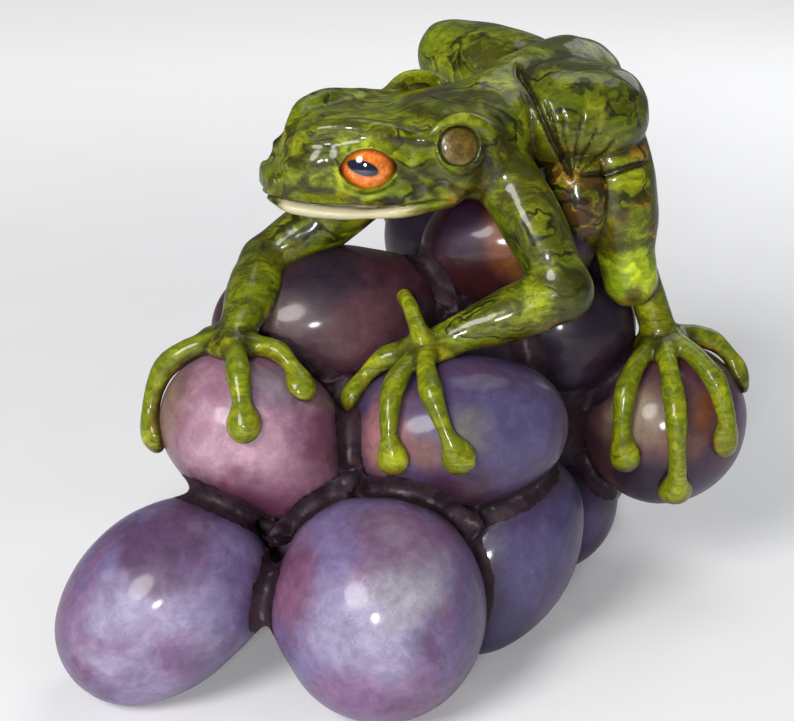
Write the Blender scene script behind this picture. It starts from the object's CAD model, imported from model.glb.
"""Looks of a glazed frog crouching on a pile of grapes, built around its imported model."""
from __future__ import annotations

import logging
import math
from dataclasses import dataclass, field
from enum import Enum
from typing import Callable, Sequence

import bpy
import numpy as np
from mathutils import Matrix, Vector

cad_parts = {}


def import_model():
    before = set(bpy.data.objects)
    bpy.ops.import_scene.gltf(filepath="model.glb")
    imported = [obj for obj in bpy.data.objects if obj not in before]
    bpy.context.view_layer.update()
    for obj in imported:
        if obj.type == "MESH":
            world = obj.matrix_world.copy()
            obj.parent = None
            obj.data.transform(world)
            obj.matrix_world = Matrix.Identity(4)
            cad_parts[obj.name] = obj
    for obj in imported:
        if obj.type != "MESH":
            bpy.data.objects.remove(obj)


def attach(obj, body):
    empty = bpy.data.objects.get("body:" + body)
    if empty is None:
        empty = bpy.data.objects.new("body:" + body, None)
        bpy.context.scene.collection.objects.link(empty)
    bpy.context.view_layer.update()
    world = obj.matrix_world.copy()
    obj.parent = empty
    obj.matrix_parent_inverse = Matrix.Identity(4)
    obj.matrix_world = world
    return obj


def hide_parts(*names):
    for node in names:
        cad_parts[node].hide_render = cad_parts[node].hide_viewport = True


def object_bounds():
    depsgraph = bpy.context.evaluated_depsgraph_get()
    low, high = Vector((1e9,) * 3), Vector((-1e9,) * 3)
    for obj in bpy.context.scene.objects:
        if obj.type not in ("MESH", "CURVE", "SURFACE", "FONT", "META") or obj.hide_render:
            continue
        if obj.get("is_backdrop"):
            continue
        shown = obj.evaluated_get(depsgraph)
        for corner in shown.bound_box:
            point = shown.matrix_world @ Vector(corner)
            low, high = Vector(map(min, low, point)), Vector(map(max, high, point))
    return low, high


log = logging.getLogger("frog_on_grapes")

Array = np.ndarray
Colour = tuple[float, float, float]
Place = tuple[float, float, float]

MM = 0.001
GRAPE_WIDTH = 30.0
PILE_SHIFT = (-0.115, -0.375)
REST_FLAT_DEPTH = 0.8
END_ROUNDNESS = 0.45
WIDEST_STUCK_GAP = 3.6
STUCK_OVERLAP = 0.12
SWELL_WIDTH = 11.0
SWELL_DEPTH = 4.0
BLOCKS_AT_ONCE = 400
BLOCK_REACH = 1.15
NEWTON_ROUNDS = 3
DIGIT_ORDER = ("first", "second", "third", "fourth")


def pile(x: float, y: float, z: float) -> Array:
    """A place in the pile in millimetres, from shares of the grape width."""
    return np.array([x + PILE_SHIFT[0], y + PILE_SHIFT[1], z]) * GRAPE_WIDTH


def unit(vector: Sequence[float]) -> Array:
    """The vector at length one."""
    made = np.asarray(vector, float)
    return made / np.linalg.norm(made)


def pointing(bearing: float, rise: float) -> Array:
    """Unit direction from a compass bearing and a rise above level, in degrees."""
    b, r = math.radians(bearing), math.radians(rise)
    return np.array([math.cos(r) * math.cos(b), math.cos(r) * math.sin(b), math.sin(r)])


def smooth_min(a: Array, b: Array, width: float) -> Array:
    """The smaller of two distances, rounded where they meet.

    Args:
        a: first distances.
        b: second distances.
        width: how far apart they may be and still be rounded, in millimetres.

    Returns:
        The blended distances.
    """
    h = np.maximum(width - np.abs(a - b), 0) / width
    return np.minimum(a, b) - h * h * width / 4


def smooth_max(a: Array, b: Array, width: float) -> Array:
    """The larger of two distances, rounded where they meet."""
    return -smooth_min(-a, -b, width)


def bump(x: Array, low: float, high: float) -> Array:
    """0 below low, 1 above high and smooth in between; low may be the larger."""
    t = np.clip((x - low) / (high - low), 0, 1)
    return t * t * (3 - 2 * t)


def value_noise(points: Array, scale: float, seed: int) -> Array:
    """Smooth random values from -1 to 1 over space.

    Args:
        points: places in millimetres.
        scale: size of one lump in millimetres.
        seed: which pattern.

    Returns:
        One value for each place.
    """
    q = points / scale + 37.0 + 11.3 * seed
    base = np.floor(q).astype(np.int64)
    t = q - base
    t = t * t * (3 - 2 * t)
    total = np.zeros(len(points))
    for corner in range(8):
        offset = np.array([corner & 1, corner >> 1 & 1, corner >> 2 & 1])
        cell = base + offset
        mixed = cell[:, 0] * 73856093 ^ cell[:, 1] * 19349663 ^ cell[:, 2] * 83492791 ^ seed * 2654435
        mixed = (mixed ^ mixed >> 13) * 1274126177 & 0xFFFFFFF
        weight = np.prod(np.where(offset, t, 1 - t), axis=1)
        total += weight * (mixed / 0x7FFFFFF - 1)
    return total


def through(rows: Sequence[Sequence[float]], steps: int = 5) -> Array:
    """A smooth line through hand-placed rows, such as places with radii.

    Args:
        rows: the rows, in order.
        steps: how many points from one row to the next.

    Returns:
        The rows of the smooth line.
    """
    p = np.asarray(rows, float)
    p = np.vstack([2 * p[0] - p[1], p, 2 * p[-1] - p[-2]])
    made = []
    for i in range(1, len(p) - 2):
        a, b, c, d = p[i - 1:i + 3]
        for t in np.arange(steps) / steps:
            made.append(0.5 * (2 * b + (c - a) * t + (2 * a - 5 * b + 4 * c - d) * t**2
                               + (3 * b - a - 3 * c + d) * t**3))
    made.append(p[-2])
    return np.array(made)


# Forms


class Form:
    """Something with a distance from its skin, negative inside."""

    def distance(self, p: Array) -> Array:
        """Distances of places from the skin.

        Args:
            p: places in millimetres.

        Returns:
            Millimetres, negative inside.
        """
        raise NotImplementedError


@dataclass
class Chain(Form):
    """A limb or ridge that follows a line; each row is a place and a radius."""

    rows: Array
    exact_within: float = 7.0
    most_taper: float = 0.9

    def distance(self, p: Array) -> Array:
        """Distances of places from the skin.

        Args:
            p: places in millimetres.

        Returns:
            Millimetres, negative inside.
        """
        middle = self.rows[:, :3].mean(0)
        spread = np.linalg.norm(self.rows[:, :3] - middle, axis=1).max() + self.rows[:, 3].max()
        best = np.linalg.norm(p - middle, axis=1) - spread
        near = best < self.exact_within
        q = p[near]
        made = np.full(len(q), 1e3)
        for start, end in zip(self.rows[:-1], self.rows[1:]):
            length = max(float(np.linalg.norm(end[:3] - start[:3])), 1e-6)
            taper = float(np.clip((end[3] - start[3]) / length, -self.most_taper, self.most_taper))
            off = q - start[:3]
            along = off @ (end[:3] - start[:3]) / length
            beside = np.sqrt(np.maximum(np.einsum("ij,ij->i", off, off) - along**2, 0))
            foot = np.clip(along + beside * taper / math.sqrt(1 - taper**2), 0, length)
            np.minimum(made, np.hypot(beside, along - foot) - start[3] - foot * taper, out=made)
        best[near] = made
        return best


@dataclass
class Egg(Form):
    """An ellipsoid: middle, three half lengths and the directions of the first two."""

    centre: Array
    radii: Place
    along: Array = field(default_factory=lambda: np.array([1.0, 0, 0]))
    across: Array = field(default_factory=lambda: np.array([0, 1.0, 0]))

    def local(self, p: Array) -> Array:
        """Places seen from the middle, along the egg's own directions."""
        first = unit(self.along)
        second = unit(self.across - first * (self.across @ first))
        return (p - self.centre) @ np.stack([first, second, np.cross(first, second)], axis=1)

    def distance(self, p: Array) -> Array:
        """Distances of places from the skin.

        Args:
            p: places in millimetres.

        Returns:
            Millimetres, negative inside.
        """
        q = self.local(p)
        radii = np.array(self.radii)
        inner = np.linalg.norm(q / radii, axis=1)
        outer = np.linalg.norm(q / radii**2, axis=1)
        return inner * (inner - 1) / np.maximum(outer, 1e-6)


@dataclass
class Loft(Form):
    """A body along an axis; each row is how far along, sideways middle, underside, top, half width."""

    origin: Array
    axis: Array
    right: Array
    up: Array
    rows: Sequence[tuple[float, float, float, float, float]]
    nose: float
    tail: float
    squareness: float = 2.5

    def local(self, p: Array) -> Array:
        """Places as distances along the axis, to the right and up."""
        return (p - self.origin) @ np.stack([self.axis, self.right, self.up], axis=1)

    def distance(self, p: Array) -> Array:
        """Distances of places from the skin.

        Args:
            p: places in millimetres.

        Returns:
            Millimetres, negative inside.
        """
        rows = through(self.rows, 6)
        q = self.local(p)
        first, last = rows[0, 0], rows[-1, 0]
        s = np.clip(q[:, 0], first, last)
        side, low, high, half = (np.interp(s, rows[:, 0], rows[:, i]) for i in range(1, 5))
        over = np.maximum(first - q[:, 0], 0) / self.nose + np.maximum(q[:, 0] - last, 0) / self.tail
        tall = (high - low) / 2
        n = self.squareness
        around = (np.abs((q[:, 1] - side) / half) ** n + np.abs((q[:, 2] - low - tall) / tall) ** n
                  + over**n) ** (1 / n)
        return (around - 1) * np.minimum(half, tall) * 0.9


@dataclass
class BerryForm(Form):
    """One grape: place, bearing and rise of its long axis, length and width, as shares."""

    name: str
    place: tuple[float, float, float | None]
    turn: tuple[float, float]
    size: tuple[float, float]
    swells: list[tuple[Array, float]] = field(default_factory=list)

    def __post_init__(self) -> None:
        """Works out the grape's profile and place."""
        self.half_length, self.half_width = (share * GRAPE_WIDTH / 2 for share in self.size)
        tightest = self.half_width**2 / self.half_length
        self.end_radius = tightest + END_ROUNDNESS * (self.half_width - tightest)
        self.end_offset = self.half_length - self.end_radius
        self.side_radius, self.sink, self.turn_angle = self.half_width, 0.0, math.pi / 2
        if self.half_length > self.half_width:
            chord = self.end_offset**2 + self.half_width**2 - self.end_radius**2
            self.side_radius = chord / (2 * (self.half_width - self.end_radius))
            self.sink = self.side_radius - self.half_width
            self.turn_angle = math.atan2(self.sink, self.end_offset)
        self.axis = pointing(*self.turn)
        x, y, z = self.place
        self.centre = pile(x, y, z or 0)
        if z is None:
            self.centre[2] = self.support(np.array([0, 0, 1.0])) - REST_FLAT_DEPTH

    def support(self, direction: Array) -> float:
        """Distance from the middle to the plane across a direction that touches the grape.

        Args:
            direction: a unit direction.

        Returns:
            Millimetres.
        """
        along = abs(direction @ self.axis)
        across = math.sqrt(max(1 - along**2, 0))
        if math.atan2(across, along) < self.turn_angle:
            return self.end_offset * along + self.end_radius
        return self.side_radius - self.sink * across

    def skin(self, direction: Array) -> tuple[Array, Array]:
        """The skin's place along a direction from the middle, and its outward normal.

        Args:
            direction: a unit direction.

        Returns:
            The place in millimetres and the unit normal.
        """
        low, high = 0.0, self.half_length * 1.2
        for _ in range(40):
            reach = (low + high) / 2
            if self.distance((self.centre + direction * reach)[None])[0] < 0:
                low = reach
            else:
                high = reach
        place = self.centre + direction * low
        step = 1e-3
        slope = [self.distance((place + step * e)[None])[0] for e in np.eye(3)]
        return place, unit(slope)

    def distance(self, p: Array) -> Array:
        """Distances of places from the skin.

        Args:
            p: places in millimetres.

        Returns:
            Millimetres, negative inside.
        """
        q = p - self.centre
        along = np.abs(q @ self.axis)
        across = np.sqrt(np.maximum(np.einsum("ij,ij->i", q, q) - along**2, 0))
        at_end = np.arctan2(across, along - self.end_offset) < self.turn_angle
        end = np.hypot(along - self.end_offset, across) - self.end_radius
        side = np.hypot(along, across + self.sink) - self.side_radius
        made = np.where(at_end, end, side)
        if self.swells:
            close = made < SWELL_DEPTH
            made[close] -= self.swelling(p[close])
        return made

    def swelling(self, p: Array) -> Array:
        """How far the grape bulges towards the neighbours that it is stuck to.

        Args:
            p: places in millimetres.

        Returns:
            Millimetres outwards.
        """
        made = np.zeros(len(p))
        for middle, amount in self.swells:
            made += amount * bump(np.linalg.norm(p - middle, axis=1), SWELL_WIDTH, 1.0)
        return made


GRAPES = {
    row[0]: BerryForm(*row)
    for row in (
        ("grape_front_left", (-1.12, -0.51, None), (18, 40), (1.13, 0.86)),
        ("grape_front", (-0.07, -0.67, None), (90, 70), (1.06, 0.99)),
        ("grape_front_right", (0.48, -0.01, None), (31, 54), (1.12, 0.84)),
        ("grape_base_right", (0.87, 0.86, None), (31, 54), (0.77, 0.68)),
        ("grape_base_left", (-0.50, 0.28, None), (0, 0), (0.97, 0.97)),
        ("grape_base_middle", (0.15, 0.90, None), (0, 0), (0.86, 0.86)),
        ("grape_base_back_left", (-0.67, 1.33, None), (0, 0), (0.85, 0.85)),
        ("grape_base_back_right", (0.97, 1.42, None), (90, 0), (0.76, 0.76)),
        ("grape_upper_left", (-0.69, -0.17, 1.20), (-9, -24), (0.94, 0.77)),
        ("grape_upper_front", (0.29, -0.13, 1.18), (3, 7), (1.09, 0.75)),
        ("grape_middle", (0.20, 0.60, 1.24), (4, 12), (1.04, 0.73)),
        ("grape_back_left", (-0.57, 0.93, 1.03), (0, 0), (0.85, 0.85)),
        ("grape_back_right", (0.60, 1.40, 0.97), (0, 0), (0.82, 0.82)),
        ("grape_right", (1.42, 0.67, 0.91), (22, 46), (0.89, 0.85)),
        ("grape_upper_right", (0.87, 0.77, 1.42), (0, 0), (0.78, 0.73)),
        ("grape_top_left", (-0.38, 0.40, 1.56), (3, 9), (1.13, 0.79)),
        ("grape_top", (0.58, 0.60, 1.93), (0, 0), (0.87, 0.63)),
        ("grape_top_back", (0.32, 1.33, 1.75), (0, 0), (0.79, 0.79)),
    )
}


STUCK = (
    ("front_left", "front"), ("front", "upper_left"), ("front", "upper_front"), ("middle", "top"),
    ("middle", "base_middle"), ("top_left", "top"), ("top", "top_back"), ("top_back", "back_right"),
    ("upper_right", "back_right"), ("back_right", "base_middle"), ("upper_left", "base_left"),
    ("upper_left", "upper_front"), ("top_left", "upper_front"), ("upper_front", "middle"),
    ("front_left", "upper_left"), ("middle", "upper_right"), ("upper_right", "right"),
)


def press_grapes() -> None:
    """Lets grapes that are stuck together over a gap bulge until they touch."""
    swells = []
    for first_name, second_name in STUCK:
        first, second = GRAPES["grape_" + first_name], GRAPES["grape_" + second_name]
        span = second.centre - first.centre
        length = float(np.linalg.norm(span))
        near = float(np.linalg.norm(first.skin(span / length)[0] - first.centre))
        far = float(np.linalg.norm(second.skin(-span / length)[0] - second.centre))
        gap = length - near - far
        if 0 < gap < WIDEST_STUCK_GAP:
            middle = first.centre + span * ((near + gap / 2) / length)
            swells.append((first, second, middle, gap / 2 + STUCK_OVERLAP))
    for first, second, middle, amount in swells:
        first.swells.append((middle, amount))
        second.swells.append((middle, amount))


def grape_distance(p: Array) -> Array:
    """Distances of places from the nearest grape's skin."""
    return np.min([grape.distance(p) for grape in GRAPES.values()], axis=0)


# Meshes


@dataclass
class Shell:
    """Vertices in millimetres, triangles and normals of one skin."""

    points: Array
    triangles: Array
    normals: Array


def slope_of(distance: Callable[[Array], Array], p: Array, step: float = 0.06) -> tuple[Array, Array]:
    """Distances and their gradient at places, from four samples around each.

    Args:
        distance: the field.
        p: places in millimetres.
        step: how far the samples stand off, in millimetres.

    Returns:
        The distances and the gradients.
    """
    corners = np.array([[1, -1, -1], [-1, -1, 1], [-1, 1, -1], [1, 1, 1]], float)
    samples = [distance(p + corner * step) for corner in corners]
    gradient = sum(s[:, None] * c for s, c in zip(samples, corners)) / (4 * step)
    return sum(samples) / 4, gradient


def edges_of(triangles: Array) -> Array:
    """The three directed edges of every triangle."""
    return np.concatenate([triangles[:, [0, 1]], triangles[:, [1, 2]], triangles[:, [2, 0]]])


def mesh_skin(distance: Callable[[Array], Array], low: Array, high: Array, cell: float,
              block: int = 8) -> Shell:
    """Meshes the skin of a distance field.

    Args:
        distance: the field, negative inside.
        low: lowest corner to look in, in millimetres.
        high: highest corner to look in.
        cell: size of one cell.
        block: cells along a block; only blocks near the skin are looked at.

    Returns:
        A closed skin with its points on the field's zero.
    """
    size = cell * block
    counts = np.ceil((np.asarray(high) - low) / size).astype(int) + 1
    grid = np.stack(np.meshgrid(*[np.arange(n) for n in counts], indexing="ij"), -1).reshape(-1, 3)
    middle = low + (grid + 0.5) * size
    active = grid[np.abs(distance(middle)) < size * BLOCK_REACH]
    corner = np.stack(np.meshgrid(*[np.arange(block + 1)] * 3, indexing="ij"), -1).reshape(-1, 3)
    total = counts * block + 2
    cells, places = [], []
    for start in range(0, len(active), BLOCKS_AT_ONCE):
        blocks = active[start:start + BLOCKS_AT_ONCE]
        index = blocks[:, None, :] * block + corner[None]
        values = distance((low + index * cell).reshape(-1, 3)).reshape((len(blocks),) + (block + 1,) * 3)
        cube = np.stack([values[:, i:block + i, j:block + j, k:block + k]
                         for i in (0, 1) for j in (0, 1) for k in (0, 1)], -1)
        mixed = (cube < 0).any(-1) & (cube >= 0).any(-1)
        which = np.argwhere(mixed)
        cells.append(blocks[which[:, 0]] * block + which[:, 1:])
        places.append(cube[mixed])
    index, cube = np.concatenate(cells), np.concatenate(places)
    offsets = np.array([(i, j, k) for i in (0, 1) for j in (0, 1) for k in (0, 1)], float)
    point = np.zeros((len(index), 3))
    hits = np.zeros(len(index))
    for a in range(8):
        for b in range(a + 1, 8):
            if np.abs(offsets[a] - offsets[b]).sum() == 1:
                crossing = (cube[:, a] < 0) != (cube[:, b] < 0)
                t = cube[:, a] / np.where(crossing, cube[:, a] - cube[:, b], 1)
                point += np.where(crossing[:, None], offsets[a] + t[:, None] * (offsets[b] - offsets[a]), 0)
                hits += crossing
    point = low + (index + point / hits[:, None]) * cell
    key = index[:, 0] + total[0] * (index[:, 1] + total[1] * index[:, 2])
    order = np.argsort(key)
    key, point, cube, index = key[order], point[order], cube[order], index[order]
    stride = (1, total[0], total[0] * total[1])
    quads = []
    for axis, far in ((0, 4), (1, 2), (2, 1)):
        first, second = stride[(axis + 1) % 3], stride[(axis + 2) % 3]
        crossing = (cube[:, 0] < 0) != (cube[:, far] < 0)
        own = key[crossing]
        ring = np.stack([own, own - first, own - first - second, own - second], 1)
        found = np.searchsorted(key, ring)
        inward = cube[crossing, 0] < 0
        whole = (key[np.minimum(found, len(key) - 1)] == ring).all(1)
        found, inward = found[whole], inward[whole]
        quads.append(np.where(inward[:, None], found, found[:, ::-1]))
    quad = np.concatenate(quads)
    for _ in range(NEWTON_ROUNDS):
        value, gradient = slope_of(distance, point)
        step = value / np.maximum(np.einsum("ij,ij->i", gradient, gradient), 0.05)
        point = point - gradient * np.clip(step, -cell / 2, cell / 2)[:, None]
    gradient = slope_of(distance, point)[1]
    normals = gradient / np.maximum(np.linalg.norm(gradient, axis=1), 1e-9)[:, None]
    triangles = np.concatenate([quad[:, [0, 1, 2]], quad[:, [0, 2, 3]]])
    return Shell(point, triangles, normals)


def split_shell(shell: Shell, labels: Array, count: int) -> list[Shell]:
    """Parts a skin by its points' labels and closes each part inside.

    Args:
        shell: the whole skin.
        labels: one label for each point.
        count: how many labels there are.

    Returns:
        One closed skin for each label.
    """
    corner = labels[shell.triangles]
    face = np.where(corner[:, 0] == corner[:, 1], corner[:, 0],
                    np.where(corner[:, 1] == corner[:, 2], corner[:, 1], corner[:, 2]))
    parts = []
    for label in range(count):
        triangles = shell.triangles[face == label]
        used, inverse = np.unique(triangles, return_inverse=True)
        triangles = inverse.reshape(-1, 3)
        points, normals = shell.points[used], shell.normals[used]
        edges = edges_of(triangles)
        code = edges[:, 0].astype(np.int64) * len(used) + edges[:, 1]
        back = edges[:, 1].astype(np.int64) * len(used) + edges[:, 0]
        rim = edges[~np.isin(code, back)]
        group = np.arange(len(used))
        for _ in range(400):
            joined = group.copy()
            np.minimum.at(joined, rim[:, 0], group[rim[:, 1]])
            np.minimum.at(joined, rim[:, 1], group[rim[:, 0]])
            if (joined == group).all():
                break
            group = joined
        for root in np.unique(group[rim[:, 0]]) if len(rim) else []:
            loop = rim[group[rim[:, 0]] == root]
            ring = np.unique(loop)
            apex = points[ring].mean(0) - normals[ring].mean(0) * 0.3
            points = np.vstack([points, apex])
            normals = np.vstack([normals, -normals[ring].mean(0) + 1e-6])
            cap = np.stack([loop[:, 1], loop[:, 0], np.full(len(loop), len(points) - 1)], 1)
            triangles = np.vstack([triangles, cap])
        parts.append(Shell(points, triangles, normals))
    return parts


def smooth_labels(shell: Shell, labels: Array, count: int, rounds: int) -> Array:
    """Lets each point take the label that most of its neighbours have, to tidy the seams.

    Args:
        shell: the skin.
        labels: one label for each point.
        count: how many labels there are.
        rounds: how often the points vote.

    Returns:
        The new labels.
    """
    edges = edges_of(shell.triangles)
    for _ in range(rounds):
        votes = np.zeros((len(labels), count), np.int32)
        np.add.at(votes, (edges[:, 0], labels[edges[:, 1]]), 1)
        np.add.at(votes, (edges[:, 1], labels[edges[:, 0]]), 1)
        votes[np.arange(len(labels)), labels] += 2
        labels = votes.argmax(1)
    return labels


ATTRIBUTE_KINDS = {1: ("FLOAT", "value"), 3: ("FLOAT_VECTOR", "vector"), 4: ("FLOAT_COLOR", "color")}


def add_attribute(mesh: bpy.types.Mesh, name: str, values: Array) -> None:
    """Stores one number, vector or colour for each point of a mesh.

    Args:
        mesh: the mesh.
        name: the attribute's name.
        values: one number or row for each point.
    """
    kind, slot = ATTRIBUTE_KINDS[1 if values.ndim == 1 else values.shape[1]]
    mesh.attributes.new(name, kind, "POINT").data.foreach_set(slot, values.astype(np.float32).ravel())


def add_piece(name: str, shell: Shell, paint: dict[str, Array],
              material: bpy.types.Material) -> bpy.types.Object:
    """Makes a Blender object of a skin.

    Args:
        name: the piece's name.
        shell: its skin in millimetres.
        paint: values for each point, by attribute name.
        material: its finish.

    Returns:
        The object, with its place in its mesh.
    """
    mesh = bpy.data.meshes.new(name)
    mesh.vertices.add(len(shell.points))
    mesh.vertices.foreach_set("co", (shell.points * MM).astype(np.float32).ravel())
    mesh.loops.add(len(shell.triangles) * 3)
    mesh.loops.foreach_set("vertex_index", shell.triangles.astype(np.int32).ravel())
    mesh.polygons.add(len(shell.triangles))
    mesh.polygons.foreach_set("loop_start", np.arange(0, len(shell.triangles) * 3, 3, dtype=np.int32))
    mesh.polygons.foreach_set("use_smooth", np.ones(len(shell.triangles), bool))
    mesh.update(calc_edges=True)
    for key, values in paint.items():
        add_attribute(mesh, key, values)
    mesh.normals_split_custom_set_from_vertices(shell.normals.tolist())
    mesh.materials.append(material)
    piece = bpy.data.objects.new(name, mesh)
    bpy.context.scene.collection.objects.link(piece)
    return piece


# Finishes


class Nodes:
    """A short way to write a node tree."""

    def __init__(self, tree: bpy.types.NodeTree) -> None:
        """Keeps the tree that the nodes go into."""
        self.tree = tree

    def add(self, kind: str, values: dict | None = None, **settings: object) -> bpy.types.Node:
        """Adds a node, sets its options, and fills or links its inputs.

        Args:
            kind: Blender's name for the node.
            values: a value or socket for each input, by name or number.
            settings: the node's options.

        Returns:
            The node.
        """
        node = self.tree.nodes.new(kind)
        for key, value in settings.items():
            setattr(node, key, value)
        for key, value in (values or {}).items():
            socket = node.inputs[key]
            if isinstance(value, bpy.types.NodeSocket):
                self.tree.links.new(value, socket)
            else:
                socket.default_value = value
        return node

    def maths(self, operation: str, *values: object) -> bpy.types.NodeSocket:
        """One operation on numbers or sockets."""
        return self.add("ShaderNodeMath", dict(enumerate(values)), operation=operation).outputs[0]

    def vector(self, operation: str, *values: object) -> bpy.types.NodeSocket:
        """One operation on vectors."""
        return self.add("ShaderNodeVectorMath", dict(enumerate(values)), operation=operation).outputs[0]

    def times(self, first: object, *others: object) -> bpy.types.NodeSocket:
        """Numbers or sockets multiplied together."""
        for other in others:
            first = self.maths("MULTIPLY", first, other)
        return first

    def hypot(self, first: object, second: object) -> bpy.types.NodeSocket:
        """The long side of a right angle with two sides given."""
        squares = [self.maths("POWER", side, 2.0) for side in (first, second)]
        return self.maths("SQRT", self.maths("ADD", *squares))

    def step(self, value: object, low: float, high: float, to_low: float = 0,
             to_high: float = 1) -> bpy.types.NodeSocket:
        """A value carried smoothly from one range to another."""
        node = self.add("ShaderNodeMapRange", {0: value, 1: low, 2: high, 3: to_low, 4: to_high},
                        interpolation_type="SMOOTHSTEP")
        return node.outputs[0]

    def mix(self, share: object, first: object, second: object, how: str = "MIX") -> bpy.types.NodeSocket:
        """One colour over another.

        Args:
            share: how much of the second shows.
            first: a colour or socket.
            second: a colour or socket.
            how: Blender's name for the way they mix.

        Returns:
            The mixed colour.
        """
        node = self.add("ShaderNodeMix", {0: share}, data_type="RGBA", blend_type=how)
        for index, value in ((6, first), (7, second)):
            if isinstance(value, bpy.types.NodeSocket):
                self.tree.links.new(value, node.inputs[index])
            else:
                node.inputs[index].default_value = (*value, 1)
        return node.outputs[2]

    def shades(self, share: object, colour: object, darker: Colour, paler: Colour) -> bpy.types.NodeSocket:
        """A colour dyed with one filter and, by a share, with another."""
        return self.mix(share, self.mix(1.0, colour, darker, "MULTIPLY"),
                        self.mix(1.0, colour, paler, "MULTIPLY"))

    def noise(self, where: object, scale: float, detail: float = 3, rough: float = 0.55,
              warp: float = 0, colour: bool = False) -> bpy.types.NodeSocket:
        """Cloudy noise.

        Args:
            where: the place.
            scale: lumps to a unit of the place.
            detail: how many finer layers.
            rough: how strong the finer layers are.
            warp: how far the noise bends itself.
            colour: whether it is a colour and not a number.

        Returns:
            The noise.
        """
        node = self.add("ShaderNodeTexNoise", {"Vector": where, "Scale": scale, "Detail": detail,
                                               "Roughness": rough, "Distortion": warp})
        return node.outputs[1 if colour else 0]

    def attribute(self, name: str) -> bpy.types.Node:
        """Values that the mesh carries."""
        return self.add("ShaderNodeAttribute", attribute_name=name)


class Gloss(Enum):
    """How shiny a finish is: roughness, coat, coat roughness."""

    WET = (0.36, 0.50, 0.11)
    SATIN = (0.44, 0.34, 0.12)
    MATT = (0.65, 0.03, 0.35)
    GLASSY = (0.08, 1.0, 0.02)


@dataclass(frozen=True)
class Finish:
    """A glaze; made() gives its material."""

    name: str
    gloss: Gloss
    specular: float = 0.5

    def start(self) -> tuple[bpy.types.Material, Nodes, bpy.types.Node, bpy.types.NodeSocket]:
        """An empty material, its nodes, its shader and places in millimetres."""
        material = bpy.data.materials.new(self.name)
        material.use_nodes = True
        nodes = Nodes(material.node_tree)
        shader = material.node_tree.nodes["Principled BSDF"]
        rough, coat, coat_rough = self.gloss.value
        shader.inputs["Roughness"].default_value = rough
        shader.inputs["Coat Weight"].default_value = coat
        shader.inputs["Coat Roughness"].default_value = coat_rough
        shader.inputs["Specular IOR Level"].default_value = self.specular
        where = nodes.vector("SCALE", nodes.add("ShaderNodeTexCoord").outputs["Object"])
        where.node.inputs["Scale"].default_value = 1 / MM
        return material, nodes, shader, where

    def finish(self, nodes: Nodes, shader: bpy.types.Node, colour: bpy.types.NodeSocket,
               height: bpy.types.NodeSocket, depth: float) -> None:
        """Gives the shader its colour and relief.

        Args:
            nodes: the material's nodes.
            shader: its shader.
            colour: the colour.
            height: the relief.
            depth: how high the relief is, in millimetres.
        """
        nodes.tree.links.new(colour, shader.inputs["Base Color"])
        relief = nodes.add("ShaderNodeBump", {"Height": height, "Distance": depth * MM, "Strength": 1.0})
        nodes.tree.links.new(relief.outputs[0], shader.inputs["Normal"])


@dataclass(frozen=True)
class FrogGlaze(Finish):
    """Wet green glaze over dark veins and washes of brown."""

    specular: float = 0.15
    blotch: Colour = (0.036, 0.034, 0.002)
    thread: Colour = (0.026, 0.026, 0.002)
    hairline: Colour = (0.008, 0.009, 0.002)
    umber: Colour = (0.070, 0.034, 0.005)
    ochre: Colour = (0.38, 0.21, 0.02)
    soot: Colour = (0.014, 0.009, 0.002)

    def made(self) -> bpy.types.Material:
        """The material."""
        material, n, shader, where = self.start()
        tint = n.attribute("tint").outputs["Color"]
        zones = n.add("ShaderNodeSeparateColor", {0: n.attribute("zones").outputs["Color"]}).outputs
        veined, brown, clean = zones[0], zones[1], zones[2]
        soot = n.attribute("soot").outputs["Fac"]
        drift = n.vector("MULTIPLY_ADD", n.noise(where, 0.14, 3, colour=True), (7.0, 7.0, 7.0), where)
        strand = n.add("ShaderNodeMapping", {"Vector": drift, "Rotation": (0.2, 0.35, -0.5),
                                             "Scale": (0.34, 1.0, 0.9)}).outputs[0]
        gate = n.noise(where, 0.13, 3, 0.5)
        broad = n.step(n.noise(strand, 0.19, 6, 0.70, 0.5), 0.47, 0.62)
        sweep = n.maths("ABSOLUTE", n.maths("SUBTRACT", n.noise(strand, 0.19, 2, 0.5, 0.4), 0.5))
        line = n.times(n.step(sweep, 0.040, 0.006), n.step(gate, 0.42, 0.56))
        wisp = n.step(n.noise(strand, 0.50, 6, 0.72, 0.5), 0.52, 0.63)
        light = n.step(n.noise(drift, 0.22, 5, 0.64), 0.44, 0.66)
        base = n.shades(light, tint, (0.78, 0.80, 0.70), (1.55, 1.38, 1.10))
        umber = n.times(brown, n.step(n.noise(strand, 0.34, 4, 0.6, 0.5), 0.36, 0.52))
        ochre = n.times(brown, n.step(n.noise(strand, 0.40, 4, 0.6), 0.53, 0.63))
        fibre = n.add("ShaderNodeMapping", {"Vector": strand, "Scale": (0.6, 1.6, 1.6)}).outputs[0]
        brushed = n.step(n.noise(fibre, 0.75, 5, 0.65, 0.3), 0.34, 0.66)
        base = n.shades(brushed, base, (0.66, 0.68, 0.50), (1.38, 1.28, 1.05))
        base = n.mix(n.times(broad, veined, 0.84), base, self.blotch)
        base = n.mix(n.times(wisp, veined, 0.68), base, self.thread)
        base = n.mix(umber, base, self.umber)
        base = n.mix(ochre, base, self.ochre)
        base = n.mix(n.times(line, veined, 0.92), base, self.hairline)
        base = n.mix(soot, base, self.soot)
        base = n.mix(clean, base, tint)
        height = n.maths("SUBTRACT", n.noise(where, 0.42, 2, 0.5), n.times(line, 0.20))
        self.finish(n, shader, base, height, 0.18)
        return material


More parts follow.
